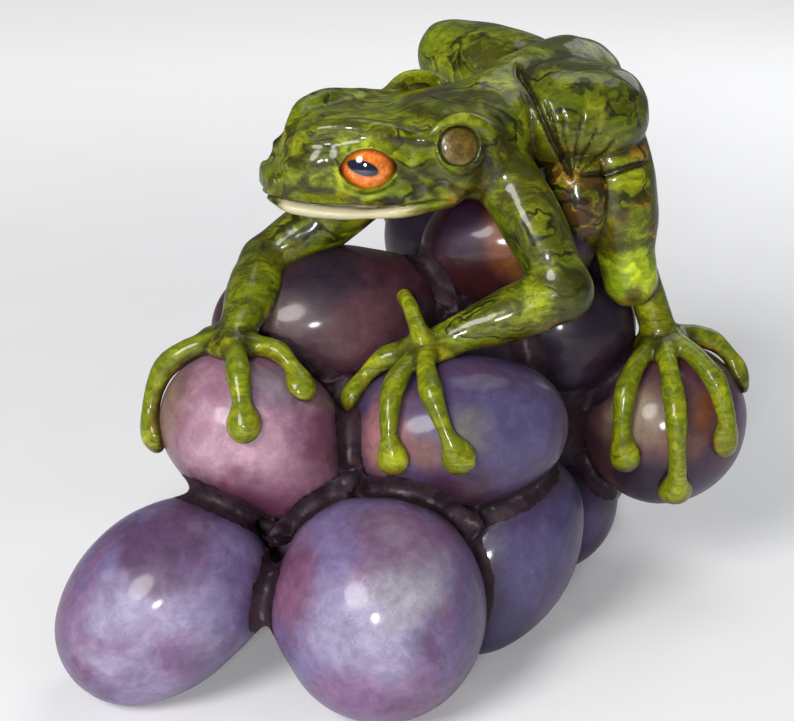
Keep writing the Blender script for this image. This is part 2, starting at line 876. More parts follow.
@dataclass(frozen=True)
class GrapeGlaze(Finish):
    """Satin plum and blue-violet stains with fine specks."""

    specular: float = 0.32
    speck: Colour = (0.035, 0.012, 0.04)
    bloom: Colour = (0.45, 0.38, 0.52)

    def made(self) -> bpy.types.Material:
        """The material."""
        material, n, shader, where = self.start()
        main, warm, deep = (n.attribute(name).outputs["Color"] for name in ("main", "warm", "deep"))
        drift = n.vector("MULTIPLY_ADD", n.noise(where, 0.10, 3, colour=True), (7, 7, 7), where)
        cloud = n.step(n.noise(drift, 0.085, 5, 0.62, 0.4), 0.42, 0.62)
        pool = n.step(n.noise(drift, 0.16, 4, 0.60, 0.3), 0.50, 0.70)
        base = n.mix(cloud, main, warm)
        base = n.mix(n.times(pool, 0.50), base, deep)
        haze = n.step(n.noise(drift, 0.5, 5, 0.7), 0.35, 0.75)
        base = n.shades(haze, base, (0.80, 0.78, 0.82), (1.18, 1.18, 1.15))
        specks = n.step(n.noise(where, 1.9, 4, 0.75), 0.60, 0.72)
        base = n.mix(n.times(specks, 0.55), base, self.speck)
        pale = n.step(n.noise(where, 1.2, 4, 0.7), 0.68, 0.78)
        base = n.mix(n.times(pale, 0.30), base, self.bloom)
        height = n.maths("ADD", n.noise(where, 0.35, 4, 0.5), n.times(specks, -0.15))
        self.finish(n, shader, base, height, 0.10)
        return material


@dataclass(frozen=True)
class SlipGlaze(Finish):
    """Dark plum clay with greyer crests."""

    specular: float = 0.30
    hollow: Colour = (0.011, 0.004, 0.009)
    body: Colour = (0.034, 0.013, 0.021)
    worn: Colour = (0.150, 0.105, 0.125)
    stain: Colour = (0.020, 0.007, 0.012)

    def made(self) -> bpy.types.Material:
        """The material."""
        material, n, shader, where = self.start()
        cloud = n.step(n.noise(where, 0.35, 5, 0.65, 0.5), 0.40, 0.62)
        base = n.mix(cloud, self.hollow, self.body)
        crest = n.times(n.attribute("crest").outputs["Fac"], n.step(n.noise(where, 0.22, 3), 0.48, 0.58))
        base = n.mix(crest, base, self.worn)
        stain = n.step(n.noise(where, 0.8, 4, 0.7), 0.55, 0.70)
        base = n.mix(n.times(stain, 0.7), base, self.stain)
        self.finish(n, shader, base, n.noise(where, 0.7, 3, 0.5), 0.15)
        return material


@dataclass(frozen=True)
class EyeGlaze(Finish):
    """Orange iris round a slanted dark pupil, under a glassy coat."""

    pupil_shift: float = 0.75
    pupil_length: float = 2.2
    iris_size: tuple[float, float] = (3.9, 3.0)
    pupil: Colour = (0.006, 0.010, 0.028)
    orange: Colour = (0.62, 0.12, 0.012)
    amber: Colour = (0.86, 0.27, 0.035)
    edge: Colour = (0.20, 0.045, 0.010)
    ring: Colour = (0.42, 0.10, 0.01)

    def made(self) -> bpy.types.Material:
        """The material."""
        material, n, shader, where = self.start()
        gaze = n.add("ShaderNodeSeparateXYZ", {0: n.attribute("gaze").outputs["Vector"]}).outputs
        across, up = gaze[0], gaze[1]
        ahead = n.maths("DIVIDE", n.maths("ADD", across, self.pupil_shift), self.pupil_length)
        pupil = n.hypot(ahead, up)
        wide = n.hypot(*(n.maths("DIVIDE", side, size) for side, size in zip((across, up), self.iris_size)))
        fleck = n.noise(where, 1.3, 4, 0.6)
        iris = n.mix(n.step(fleck, 0.35, 0.65), self.orange, self.amber)
        iris = n.mix(n.step(wide, 0.75, 1.05), iris, self.edge)
        iris = n.mix(n.times(n.step(pupil, 1.30, 1.05), 0.8), iris, self.ring)
        colour = n.mix(n.step(pupil, 1.06, 0.98), iris, self.pupil)
        self.finish(n, shader, colour, fleck, 0.02)
        return material


@dataclass(frozen=True)
class EardrumGlaze(Finish):
    """Mottled brown disc with a dark rim."""

    dark: Colour = (0.075, 0.042, 0.004)
    light: Colour = (0.160, 0.100, 0.008)
    edge: Colour = (0.03, 0.028, 0.006)

    def made(self) -> bpy.types.Material:
        """The material."""
        material, n, shader, where = self.start()
        rim = n.attribute("rim").outputs["Fac"]
        base = n.mix(n.step(n.noise(where, 0.9, 4, 0.65), 0.38, 0.66), self.dark, self.light)
        base = n.mix(n.step(rim, 0.80, 0.98), base, self.edge)
        self.finish(n, shader, base, n.noise(where, 1.3, 3), 0.12)
        return material


# Grapes


@dataclass
class GrapePile:
    """The grapes, each grown by one node tree from its profile."""

    segments: int = 112
    rings: int = 80
    lump: float = 0.35
    lumps_across: float = 1.3
    crease_reach: tuple[float, float] = (6.0, 0.6)
    crease_strength: float = 0.85
    dusk: Colour = (0.026, 0.008, 0.022)

    def tree(self) -> bpy.types.NodeTree:
        """The node tree that grows one grape."""
        tree = bpy.data.node_groups.new("grape", "GeometryNodeTree")
        face = tree.interface
        face.new_socket("Geometry", in_out="OUTPUT", socket_type="NodeSocketGeometry")
        for name, kind in (("End Offset", "Float"), ("End Radius", "Float"), ("Sink", "Float"),
                           ("Side Radius", "Float"), ("Turn Cosine", "Float"), ("Lump", "Float"),
                           ("Seed", "Float"), ("Centre", "Vector"), ("Rotation", "Vector"),
                           ("Glaze", "Material")):
            face.new_socket(name, in_out="INPUT", socket_type=f"NodeSocket{kind}")
        n = Nodes(tree)
        given = n.add("NodeGroupInput").outputs
        ball = n.add("GeometryNodeMeshUVSphere",
                     {"Segments": self.segments, "Rings": self.rings, "Radius": 1.0})
        normal = n.add("GeometryNodeInputPosition").outputs[0]
        xyz = n.add("ShaderNodeSeparateXYZ", {0: normal}).outputs
        flat = n.add("ShaderNodeCombineXYZ", {0: xyz[0], 1: xyz[1], 2: 0.0}).outputs[0]
        across = n.vector("NORMALIZE", flat)
        at_end = n.maths("GREATER_THAN", n.maths("ABSOLUTE", xyz[2]), given["Turn Cosine"])
        end = n.add("ShaderNodeCombineXYZ", {2: n.times(n.maths("SIGN", xyz[2]), given["End Offset"])})
        side = n.add("ShaderNodeVectorMath", {0: across, "Scale": n.times(given["Sink"], -1.0)},
                     operation="SCALE")
        pivot = n.add("GeometryNodeSwitch", {0: at_end, 1: side.outputs[0], 2: end.outputs[0]},
                      input_type="VECTOR")
        radius = n.add("GeometryNodeSwitch", {0: at_end, 1: given["Side Radius"], 2: given["End Radius"]},
                       input_type="FLOAT")
        lumps = n.add("ShaderNodeTexNoise",
                      {"Vector": normal, "W": given["Seed"], "Scale": self.lumps_across, "Detail": 2.0},
                      noise_dimensions="4D")
        thinner = n.maths("SUBTRACT", radius.outputs[0], n.times(lumps.outputs[0], given["Lump"]))
        spread = n.add("ShaderNodeVectorMath", {0: normal, "Scale": thinner}, operation="SCALE").outputs[0]
        shaped = n.add("GeometryNodeSetPosition", {"Geometry": ball.outputs[0],
                                                   "Position": n.vector("ADD", spread, pivot.outputs[0])})
        placed = n.add("GeometryNodeTransform",
                       {"Geometry": shaped.outputs[0], "Translation": given["Centre"],
                        "Rotation": given["Rotation"]})
        here = n.add("ShaderNodeSeparateXYZ", {0: n.add("GeometryNodeInputPosition").outputs[0]}).outputs
        floor = n.add("ShaderNodeCombineXYZ", {0: here[0], 1: here[1], 2: n.maths("MAXIMUM", here[2], 0.0)})
        rested = n.add("GeometryNodeSetPosition",
                       {"Geometry": placed.outputs[0], "Position": floor.outputs[0]})
        smooth = n.add("GeometryNodeSetShadeSmooth", {"Geometry": rested.outputs[0]})
        real = n.add("GeometryNodeRealizeInstances", {"Geometry": smooth.outputs[0]})
        glazed = n.add("GeometryNodeSetMaterial",
                       {"Geometry": real.outputs[0], "Material": given["Glaze"]})
        n.add("NodeGroupOutput", {"Geometry": glazed.outputs[0]})
        return tree

    def grow(self, tree: bpy.types.NodeTree, grape: BerryForm, seed: int,
             glaze: bpy.types.Material) -> bpy.types.Object:
        """Grows one grape and turns it into a plain mesh.

        Args:
            tree: the node tree.
            grape: its profile and place.
            seed: which lumps it has.
            glaze: its finish.

        Returns:
            The grape's object.
        """
        host = bpy.data.objects.new("seed", bpy.data.meshes.new("seed"))
        bpy.context.scene.collection.objects.link(host)
        modifier = host.modifiers.new("grow", "NODES")
        modifier.node_group = tree
        turn = Vector(grape.axis).to_track_quat("Z", "Y").to_euler()
        values = {
            "End Offset": grape.end_offset * MM, "End Radius": grape.end_radius * MM, "Sink": grape.sink * MM,
            "Side Radius": grape.side_radius * MM, "Turn Cosine": math.cos(grape.turn_angle),
            "Lump": self.lump * MM, "Seed": float(seed), "Centre": tuple(grape.centre * MM),
            "Rotation": tuple(turn), "Glaze": glaze,
        }
        for item in tree.interface.items_tree:
            if item.in_out == "INPUT":
                modifier[item.identifier] = values[item.name]
        bpy.context.view_layer.update()
        baked = bpy.data.meshes.new_from_object(host.evaluated_get(bpy.context.evaluated_depsgraph_get()))
        bpy.data.objects.remove(host)
        piece = bpy.data.objects.new(grape.name + "_skin", baked)
        bpy.context.scene.collection.objects.link(piece)
        return piece

    def paint(self, piece: bpy.types.Object, grape: BerryForm, stains: Stains) -> None:
        """Swells a grape where it is stuck to others and lays the stains on its points.

        Args:
            piece: the grape's object.
            grape: its profile and place.
            stains: its colours and patches.
        """
        mesh = piece.data
        points = np.zeros(len(mesh.vertices) * 3, np.float32)
        mesh.vertices.foreach_get("co", points)
        points = points.reshape(-1, 3).astype(float) / MM
        outward = points - grape.centre
        outward /= np.linalg.norm(outward, axis=1)[:, None]
        points = points + outward * grape.swelling(points)[:, None]
        mesh.vertices.foreach_set("co", (points * MM).astype(np.float32).ravel())
        mesh.update()
        others = [g.distance(points) for g in GRAPES.values() if g.name != grape.name]
        crease = bump(np.min(others, axis=0) + 0.9 * value_noise(points, 4, 3), *self.crease_reach)
        ragged = (0.30 * value_noise(points, 6, 5) + 0.22 * value_noise(points, 2.6, 6)
                  + 0.12 * value_noise(points, 1.1, 7))
        shares = []
        for patch in stains.patches:
            reach = np.linalg.norm(points - patch.centre(grape), axis=1) + patch.radius * ragged
            shares.append(bump(reach, patch.radius * 1.1, patch.radius * 0.3)[:, None] * patch.strength)
        shade = (crease * self.crease_strength)[:, None]
        for name, start, lift in (("main", stains.main, 1.0), ("warm", stains.warm, 1.1),
                                  ("deep", stains.deep, 0.6)):
            colours = np.tile([*start, 1.0], (len(points), 1))
            for patch, share in zip(stains.patches, shares):
                colours[:, :3] += (np.array(patch.colour) * lift - colours[:, :3]) * share
            colours[:, :3] += (np.array(self.dusk) - colours[:, :3]) * shade
            add_attribute(mesh, name, colours)

    def build(self, glaze: bpy.types.Material) -> None:
        """Makes every grape, paints it and sets it in the frame.

        Args:
            glaze: the grapes' finish.
        """
        tree = self.tree()
        for seed, grape in enumerate(GRAPES.values()):
            piece = self.grow(tree, grape, seed, glaze)
            self.paint(piece, grape, STAINS.get(grape.name, Stains()))
            settle(piece, "grape_glaze", grape.name)


@dataclass(frozen=True)
class Patch:
    """A stain round a direction from a grape's middle."""

    turn: tuple[float, float]
    radius: float
    colour: Colour
    strength: float = 1.0

    def centre(self, grape: BerryForm) -> Array:
        """Where it is on the grape."""
        return grape.skin(pointing(*self.turn))[0]


@dataclass(frozen=True)
class Stains:
    """The colours of one grape and its patches."""

    main: Colour = (0.075, 0.055, 0.140)
    warm: Colour = (0.085, 0.030, 0.085)
    deep: Colour = (0.035, 0.010, 0.040)
    patches: tuple[Patch, ...] = ()


BLUE = (0.165, 0.130, 0.270)
MAUVE = (0.185, 0.090, 0.190)
PLUM = (0.080, 0.022, 0.070)
PALE = (0.350, 0.330, 0.470)
PINK = (0.430, 0.270, 0.330)
GREY = (0.300, 0.300, 0.330)
NIGHT = (0.020, 0.008, 0.024)

STAINS = {
    "grape_front_left": Stains(BLUE, MAUVE, PLUM, (
        Patch((-112, 16), 10, PALE, 0.65), Patch((-60, 8), 8, PALE, 0.4),
        Patch((-95, -38), 7, (0.30, 0.25, 0.40), 0.8), Patch((-80, 66), 9, (0.090, 0.045, 0.105)),
        Patch((-165, 10), 8, (0.170, 0.095, 0.200)),
        Patch((-20, 10), 8, (0.110, 0.075, 0.180)))),
    "grape_front": Stains(BLUE, MAUVE, PLUM, (
        Patch((-100, 14), 11, PALE, 0.7), Patch((-70, 38), 8, GREY, 0.7),
        Patch((-165, 25), 8, (0.190, 0.080, 0.150)), Patch((-25, 5), 9, (0.115, 0.080, 0.190)),
        Patch((-110, -28), 8, (0.20, 0.10, 0.22), 0.9),
        Patch((-80, 68), 7, (0.150, 0.085, 0.150)))),
    "grape_front_right": Stains((0.055, 0.046, 0.115), (0.050, 0.032, 0.092), (0.022, 0.009, 0.034), (
        Patch((-55, 10), 9, (0.080, 0.068, 0.160), 0.8), Patch((-20, -20), 8, (0.085, 0.050, 0.140)))),
    "grape_upper_left": Stains((0.30, 0.155, 0.215), (0.24, 0.105, 0.165), PLUM, (
        Patch((-100, 16), 10, PINK, 0.7), Patch((-60, 52), 5, (0.210, 0.150, 0.200)),
        Patch((-85, -42), 8, (0.120, 0.030, 0.065)), Patch((-25, 5), 8, (0.130, 0.045, 0.075)),
        Patch((-165, 20), 7, (0.210, 0.125, 0.105)))),
    "grape_upper_front": Stains((0.068, 0.050, 0.125), (0.070, 0.032, 0.092), (0.040, 0.012, 0.040), (
        Patch((-146, 8), 7, (0.260, 0.110, 0.110)), Patch((-112, 6), 4, (0.190, 0.085, 0.070), 0.9),
        Patch((-82, 22), 4.5, (0.115, 0.105, 0.085), 0.9),
        Patch((-40, 20), 9, (0.078, 0.068, 0.155), 0.8), Patch((-95, -32), 8, (0.050, 0.014, 0.035)),
        Patch((-5, 0), 7, (0.060, 0.035, 0.095)))),
    "grape_top_left": Stains((0.050, 0.016, 0.026), (0.070, 0.026, 0.030), (0.030, 0.008, 0.014), (
        Patch((-125, 15), 7, (0.165, 0.095, 0.085), 0.8), Patch((-85, 62), 9, (0.018, 0.010, 0.022)),
        Patch((-60, 5), 7, (0.080, 0.030, 0.040)))),
    "grape_middle": Stains((0.050, 0.045, 0.075), (0.060, 0.030, 0.055), NIGHT, (
        Patch((-140, 40), 8, (0.095, 0.095, 0.140), 0.8), Patch((-20, 50), 10, NIGHT))),
    "grape_top": Stains((0.034, 0.007, 0.009), (0.050, 0.011, 0.008), (0.016, 0.005, 0.010), (
        Patch((-100, 25), 5, (0.170, 0.045, 0.010), 0.9), Patch((-75, -10), 4, (0.190, 0.070, 0.012), 0.6),
        Patch((-20, 10), 9, (0.030, 0.012, 0.030)), Patch((-140, 20), 5, (0.040, 0.018, 0.045)))),
    "grape_right": Stains((0.105, 0.050, 0.045), (0.085, 0.032, 0.042), (0.032, 0.009, 0.016), (
        Patch((-118, 22), 7, (0.210, 0.150, 0.095), 0.9), Patch((-90, 5), 5, (0.180, 0.085, 0.050), 0.9),
        Patch((-60, 25), 4.5, (0.140, 0.045, 0.012), 0.9), Patch((-15, 5), 9, (0.100, 0.040, 0.110)),
        Patch((-100, -36), 11, NIGHT), Patch((-45, -40), 9, (0.045, 0.016, 0.055)))),
    "grape_upper_right": Stains((0.018, 0.010, 0.026), (0.030, 0.010, 0.026), (0.008, 0.004, 0.010)),
    "grape_base_left": Stains((0.030, 0.018, 0.045), (0.040, 0.016, 0.040), NIGHT),
    "grape_base_right": Stains((0.048, 0.030, 0.085), (0.050, 0.024, 0.070), NIGHT, (
        Patch((-60, 15), 8, (0.085, 0.055, 0.150), 0.6),)),
    "grape_top_back": Stains((0.030, 0.014, 0.034), (0.045, 0.014, 0.036), (0.012, 0.005, 0.012)),
}


def settle(piece: bpy.types.Object, slot: str, *nodes: str) -> None:
    """Sets a finished piece in the frame in place of CAD nodes.

    Args:
        piece: the piece.
        slot: its material slot.
        nodes: the CAD nodes that it stands for.
    """
    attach(piece, "root")
    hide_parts(*nodes)
    log.info("%s stands for %s", piece.name, ", ".join(nodes))


@dataclass
class SlipWebs:
    """The clay in the valleys between grapes, in hollows between three of them and inside the pile."""

    fillet: float = 3.1
    sunk: float = 0.14
    pocket: float = 4.3
    pocket_blend: float = 2.4
    core_blend: float = 2.0
    above_table: float = 0.3
    cores: tuple[tuple[Place, Place], ...] = (
        ((8.0, 10.0, 30.0), (11.0, 9.0, 14.0)),
        ((21.5, 12.5, 30.0), (7.0, 7.0, 13.0)),
        ((26.0, 13.5, 51.5), (5.0, 4.5, 5.0)),
    )
    cell: float = 0.54

    def distance(self, p: Array) -> Array:
        """Distances of places from the webs' skin.

        Args:
            p: places in millimetres.

        Returns:
            Millimetres, negative inside.
        """
        each = np.stack([grape.distance(p) for grape in GRAPES.values()])
        first, second, third = np.sort(np.partition(each, 3, axis=0)[:3], axis=0)
        web = smooth_min(first, second, self.fillet) + self.sunk
        web = np.where(second < self.fillet, web, np.maximum(web, second - self.fillet * 0.8))
        hollow = np.cbrt(sum(np.maximum(d, 0) ** 3 for d in (first, second, third)))
        web = smooth_min(web, hollow - self.pocket + 0.25 * value_noise(p, 3.0, 9), self.pocket_blend)
        for middle, radii in self.cores:
            web = smooth_min(web, Egg(np.array(middle), radii).distance(p), self.core_blend)
        return np.maximum(web, self.above_table - p[:, 2])

    def build(self, glaze: bpy.types.Material) -> None:
        """Makes the webs, marks their crests and sets them in the frame.

        Args:
            glaze: the slip's finish.
        """
        low, high = (np.array(v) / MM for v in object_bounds())
        shell = mesh_skin(self.distance, low - 1, high + 1, self.cell)
        each = np.stack([grape.distance(shell.points) for grape in GRAPES.values()])
        first, second = np.sort(np.partition(each, 2, axis=0)[:2], axis=0)
        crest = bump(second - first + 0.35 * value_noise(shell.points, 2.5, 4), 0.40, 0.05)
        settle(add_piece("slip_webs", shell, {"crest": crest}, glaze), "slip", "slip")


# Frog


@dataclass
class Flesh:
    """The forms of one node of the frog and how softly they join what is there before."""

    node: str
    forms: list[Form]
    blend: float = 1.0
    own_blend: float = 1.0

    def distance(self, p: Array) -> Array:
        """Distances of places from this node's skin.

        Args:
            p: places in millimetres.

        Returns:
            Millimetres, negative inside.
        """
        made = self.forms[0].distance(p)
        for form in self.forms[1:]:
            made = smooth_min(made, form.distance(p), self.own_blend)
        return made


@dataclass
class FrogHead:
    """The head's own directions, sizes and places."""

    length: float = 30.5
    width: float = 23.0
    height: float = 15.0
    bearing: float = 17.0
    roll: float = 8.0
    neck: Place = (0.33, 0.57, 2.18)
    eye_radius: float = 4.4
    opening: tuple[float, float] = (3.95, 2.75)
    eye_place: Place = (0.44, 0.27, 0.56)
    eye_look: tuple[float, float] = (-14.0, 12.0)
    drum_place: Place = (0.84, 0.455, 0.79)
    drum_look: tuple[float, float] = (0.0, 22.0)
    drum_radius: float = 2.9
    opening_power: float = 1.7

    def __post_init__(self) -> None:
        """Works out the head's directions."""
        self.back = pointing(self.bearing, 0)
        level = np.cross([0, 0, 1.0], self.back)
        roll = math.radians(self.roll)
        self.right = level * math.cos(roll) + np.array([0, 0, 1.0]) * math.sin(roll)
        self.up = np.cross(self.back, self.right)
        self.snout = pile(*self.neck) - self.back * self.length

    def at(self, back: float, right: float, up: float) -> Array:
        """A place from millimetres behind the snout, to the frog's right and up."""
        return self.snout + self.back * back + self.right * right + self.up * up

    def share(self, place: Place, side: int) -> Array:
        """A place from shares of the head's length, width and height."""
        return self.at(place[0] * self.length, side * place[1] * self.width, place[2] * self.height)

    def look(self, side: int, turn: tuple[float, float]) -> Array:
        """The direction that an eye or eardrum faces."""
        back, up = (math.radians(angle) for angle in turn)
        level = self.right * (side * math.cos(back)) + self.back * math.sin(back)
        return level * math.cos(up) + self.up * math.sin(up)

    def local(self, p: Array) -> Array:
        """Places as millimetres behind the snout, to the right and up."""
        return (p - self.snout) @ np.stack([self.back, self.right, self.up], axis=1)

    def mouth_rise(self, q: Array) -> Array:
        """Height of the mouth's line over the head's base, for places in the head's own directions."""
        return 3.0 - 0.2 * bump(q[:, 0], 2, 9) + 1.5 * bump(q[:, 0], 12, 24)

    def eye_frame(self, side: int) -> tuple[Array, Array, Array, Array]:
        """An eye's middle, its direction along the head, upwards and outwards."""
        look = self.look(side, self.eye_look)
        along = unit(self.back - look * (self.back @ look))
        return self.share(self.eye_place, side), along, np.cross(look, along) * side * -1, look

    def strip(self, side: int, rows: Sequence[tuple[float, float, float, float]]) -> Chain:
        """A ridge on one side, from rows of places in the head's own directions and a radius."""
        return Chain(through([(*self.at(back, side * out, up), radius) for back, out, up, radius in rows]))

    def forms(self) -> list[Form]:
        """The skull, and each side's brow, ridge, jaw, eardrum fold, nostril and cheek."""
        rows = [(1.1, 0, 3.0, 7.0, 4.2), (3.1, 0, 1.9, 10.2, 6.1), (5.4, 0, 1.2, 12.7, 7.5),
                (8.2, 0, 0.9, 13.9, 8.5), (12.8, 0, 0.7, 14.3, 9.6), (18.9, 0, 0.6, 14.5, 11.0),
                (25.0, 0, 1.0, 15.2, 11.3), (30.5, 0, 1.8, 15.0, 9.6)]
        made: list[Form] = [Loft(self.snout, self.back, self.right, self.up, rows, 1.5, 4.0, 2.7)]
        for side in (-1, 1):
            brow = self.share(self.eye_place, side) + self.up * 0.5
            made.append(Egg(brow, (5.5, 5.1, 5.1), self.back, self.up))
            made.append(self.strip(side, ((3.6, 0.9, 9.7, 1.0), (5.0, 3.0, 12.0, 1.1), (7.0, 5.0, 13.6, 1.3),
                                          (11.0, 6.6, 14.2, 1.5), (15.0, 7.6, 13.7, 1.5),
                                          (19.0, 8.5, 13.0, 1.3), (22.5, 9.4, 12.2, 1.0))))
            made.append(self.strip(side, ((1.0, 1.5, 2.9, 0.9), (2.6, 4.5, 2.3, 0.9), (6.6, 6.8, 2.0, 0.9),
                                          (12.0, 8.6, 1.9, 0.9), (18.0, 10.0, 2.3, 0.9),
                                          (24.0, 10.4, 3.4, 0.8))))
            drum = self.share(self.drum_place, side)
            fold = [drum - self.back * 4.6 + self.up * 1.4, drum - self.back * 2.4 + self.up * 3.6,
                    drum + self.back * 1.2 + self.up * 4.2, drum + self.back * 4.4 + self.up * 2.2,
                    drum + self.back * 5.2 - self.up * 1.6]
            out = self.look(side, self.drum_look)
            made.append(Chain(through([(*(p - out * 0.75), 0.75) for p in fold])))
            made.append(Egg(self.at(2.9, side * 3.9, 8.6), (0.9, 0.7, 0.7)))
            made.append(self.strip(side, ((13.0, 8.6, 4.6, 1.3), (19.0, 9.9, 4.4, 1.6),
                                          (24.5, 10.4, 5.0, 1.8))))
        return made

    def carve(self, p: Array, flesh: Array) -> Array:
        """Takes the eye sockets, eardrum seats and mouth out of the flesh, and adds lids and rims.

        Args:
            p: places in millimetres.
            flesh: their distances from the flesh.

        Returns:
            Their distances from the carved head.
        """
        q = self.local(p)
        for side in (-1, 1):
            eye, along, up, look = self.eye_frame(side)
            e = (p - eye) @ np.stack([along, up, look], axis=1)
            radial = np.linalg.norm(p - eye, axis=1)
            power = self.opening_power
            around = (np.abs(e[:, 0] / self.opening[0]) ** power
                      + np.abs(e[:, 1] / self.opening[1]) ** power) ** (1 / power)
            ring = np.hypot((around - 1.12) * 3.1, radial - self.eye_radius - 0.45) - 0.62
            ring = np.where(e[:, 2] > 0, ring, 9.0)
            flesh = smooth_min(flesh, ring, 0.5)
            fold = np.hypot((around - 1.75) * 2.6, radial - self.eye_radius - 0.75) - 0.45
            fold = np.where((e[:, 2] > 0) & (e[:, 1] < 0.5), fold, 9.0)
            flesh = smooth_min(flesh, fold, 0.7)
            opening = np.maximum((around - 1) * 3.0, 0.6 - e[:, 2])
            flesh = smooth_max(flesh, -opening, 0.35)
            drum = self.share(self.drum_place, side)
            out = self.look(side, self.drum_look)
            d = p - drum
            height = d @ out
            wide = np.sqrt(np.maximum(np.einsum("ij,ij->i", d, d) - height**2, 0))
            rim = np.hypot(wide - self.drum_radius - 0.3, height - 0.2) - 0.42
            flesh = smooth_min(flesh, rim, 0.6)
            seat = np.maximum(wide - self.drum_radius, 0.1 - height)
            flesh = smooth_max(flesh, -seat, 0.25)
        mouth = np.exp(-(((q[:, 2] - self.mouth_rise(q)) / 0.38) ** 2)) * bump(q[:, 0], 25, 22)
        inside = bump(np.abs(q[:, 1]), 14, 12) * bump(q[:, 2], 6, 5) * bump(q[:, 0], -4, -2)
        return flesh + 0.55 * mouth * inside


@dataclass
class Frog:
    """The frog: forms of every node, one skin over them, and its paint."""

    cell: float = 0.40
    head: FrogHead = field(default_factory=FrogHead)
    upper_arm: tuple[float, ...] = (4.2, 4.7, 4.7, 4.3, 3.9)
    forearm: tuple[float, ...] = (3.9, 4.1, 3.6, 2.8, 2.3)
    palm: Place = (3.9, 3.9, 1.9)
    finger: tuple[float, tuple[float, float]] = (1.52, (4.7, 1.7))
    thigh: tuple[float, ...] = (7.2, 7.6, 7.4, 6.2)
    shank: tuple[float, ...] = (3.8, 5.5, 6.2, 5.9, 4.6, 4.2)
    foot: tuple[float, ...] = (2.9, 2.8, 2.7)
    sole: Place = (4.5, 4.5, 2.0)
    toe: tuple[float, tuple[float, float]] = (1.58, (5.0, 1.8))
    digit_shape: tuple[tuple[float, float], ...] = (
        (0.0, 1.05), (0.25, 0.98), (0.48, 1.16), (0.62, 1.02), (0.80, 0.84), (0.93, 0.82), (1.0, 0.80))
    fold_root: Place = (22.6, 2.0, 68.4)
    fold_viewpoint: Place = (-3.45, -255.6, 133.9)
    box_margin: float = 0.05
    pupil_slant: float = -18.0
    folds: tuple[tuple[tuple[float, float], float, float], ...] = (
        ((14.6, 84.5), 0.70, 0.45), ((18.2, 80.6), 0.34, 0.30), ((20.6, 79.4), 0.30, 0.28),
        ((23.4, 79.0), 0.30, 0.28), ((26.2, 77.4), 0.30, 0.28), ((29.4, 75.2), 0.34, 0.30),
        ((34.0, 71.6), 0.75, 0.52),
    )
    strokes: tuple[tuple[Sequence[float], Sequence[float], float], ...] = (
        ((2.6, 9.5), (8.8, 9.9), 0.75), ((4.6, 10.8), (7.6, 12.0), 0.35), ((16.4, 9.2), (21.9, 5.6), 0.70),
        ((15.7, 13.6), (22.4, 12.4), 0.45), ((10.5, 4.9), (17.0, 4.6), 0.45), ((2.4, 5.4), (7.5, 5.8), 0.40),
        ((20.0, 8.6), (27.5, 5.2), 0.60), ((1.6, 3.6), (4.2, 7.4), 0.35),
    )

    def digit(self, grape: str, seat: tuple[float, float], tip: tuple[float, float], radius: float,
              pad: tuple[float, float], bend: float) -> list[Form]:
        """A digit over a grape's skin, with a knuckle and a pad.

        Args:
            grape: the grape's name.
            seat: bearing and rise of its root, from the grape's middle.
            tip: bearing and rise of its tip.
            radius: its thickness.
            pad: the pad's width and height.
            bend: how far it bows to one side, as a share.

        Returns:
            The digit and its pad.
        """
        form = GRAPES[grape]
        start, end = pointing(*seat), pointing(*tip)
        angle = math.acos(float(np.clip(start @ end, -1, 1)))
        side = unit(np.cross(start, end))
        rows = []
        for t, thick in self.digit_shape:
            mixed = (start * math.sin((1 - t) * angle) + end * math.sin(t * angle)) / math.sin(angle)
            mixed = unit(mixed + side * bend * math.sin(math.pi * t))
            place, normal = form.skin(mixed)
            lift = radius * 0.62 + 0.7 * math.sin(math.pi * min(t * 1.15, 1))
            rows.append((*(place + normal * lift), radius * thick))
        place, normal = form.skin(end)
        ahead = np.array(rows[-1][:3]) - np.array(rows[-3][:3])
        ahead = unit(ahead - normal * (ahead @ normal))
        cushion = Egg(place + normal * 0.45, (pad[0] / 2 * 1.06, pad[0] / 2, pad[1] * 0.78), ahead,
                      np.cross(normal, ahead))
        return [Chain(through(rows, 3)), cushion]

    def limb(self, start: Array, end: Array, radii: Sequence[float]) -> Chain:
        """A limb between two joints with its thickness given at even steps."""
        last = len(radii) - 1
        return Chain(through([(*(start + (end - start) * (i / last)), r) for i, r in enumerate(radii)]))

    def cushion(self, grape: str, seat: tuple[float, float], size: Place) -> Egg:
        """A palm or sole that lies on a grape's skin."""
        normal = GRAPES[grape].skin(pointing(*seat))[1]
        across = np.cross(normal, [1, 0.2, 0.1])
        return Egg(self.seat(grape, seat, 0.7), size, across, np.cross(normal, across))

    def digits(self, side: str, kind: str, grape: str, seat: tuple[float, float],
               tips: Sequence[tuple[float, float]], bends: Sequence[float]) -> list[Flesh]:
        """The four digits of a hand or foot.

        Args:
            side: left or right.
            kind: finger or toe.
            grape: the grape that they lie on.
            seat: bearing and rise of their root.
            tips: bearing and rise of each tip.
            bends: how far each bows to one side.

        Returns:
            One flesh for each digit.
        """
        radius, pad = self.finger if kind == "finger" else self.toe
        return [Flesh(f"{side}_{order}_{kind}", self.digit(grape, seat, tip, radius, pad, bend), 1.3, 1.8)
                for order, tip, bend in zip(DIGIT_ORDER, tips, bends)]

    def seat(self, grape: str, turn: tuple[float, float], lift: float) -> Array:
        """A place over a grape's skin."""
        place, normal = GRAPES[grape].skin(pointing(*turn))
        return place + normal * lift

